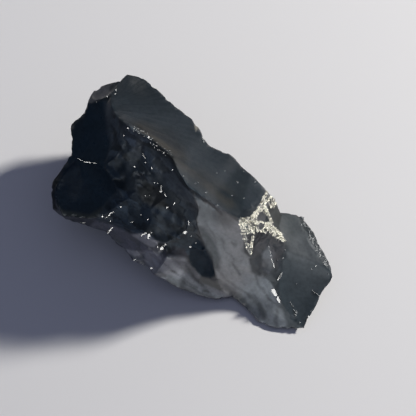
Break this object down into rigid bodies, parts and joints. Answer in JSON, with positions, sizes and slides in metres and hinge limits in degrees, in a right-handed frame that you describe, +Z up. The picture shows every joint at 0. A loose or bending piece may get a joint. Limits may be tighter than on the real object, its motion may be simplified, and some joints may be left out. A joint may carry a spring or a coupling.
{
  "type": "shungite nugget",
  "caption": "Loose nugget of near-black shungite with hollow glassy break faces and sharp ridges, resting on a flat fracture face as a specimen or hand piece.",
  "frame": {"origin": "centre of the bounding box in plan, at the ground: the flat fracture face that the stone rests on", "axes": "+X along the length, from the broad dark end to the narrow end; +Y towards the high far side with the long satin face; +Z up"},
  "size_m": [0.0382, 0.0208, 0.016],
  "materials": {
    "shungite": "near-black natural carbon mineral, glassy to half-metallic on fresh conchoidal breaks, satin on the long far face, dull and glittery where hackly",
    "pyrite": "thin crust of pale gold pyrite grains grown in the stone's surface, bright and sparkly, modelled as a low rise of the stone"
  },
  "bodies": {
    "root": {"nugget": "shungite"}
  },
  "joints": []
}
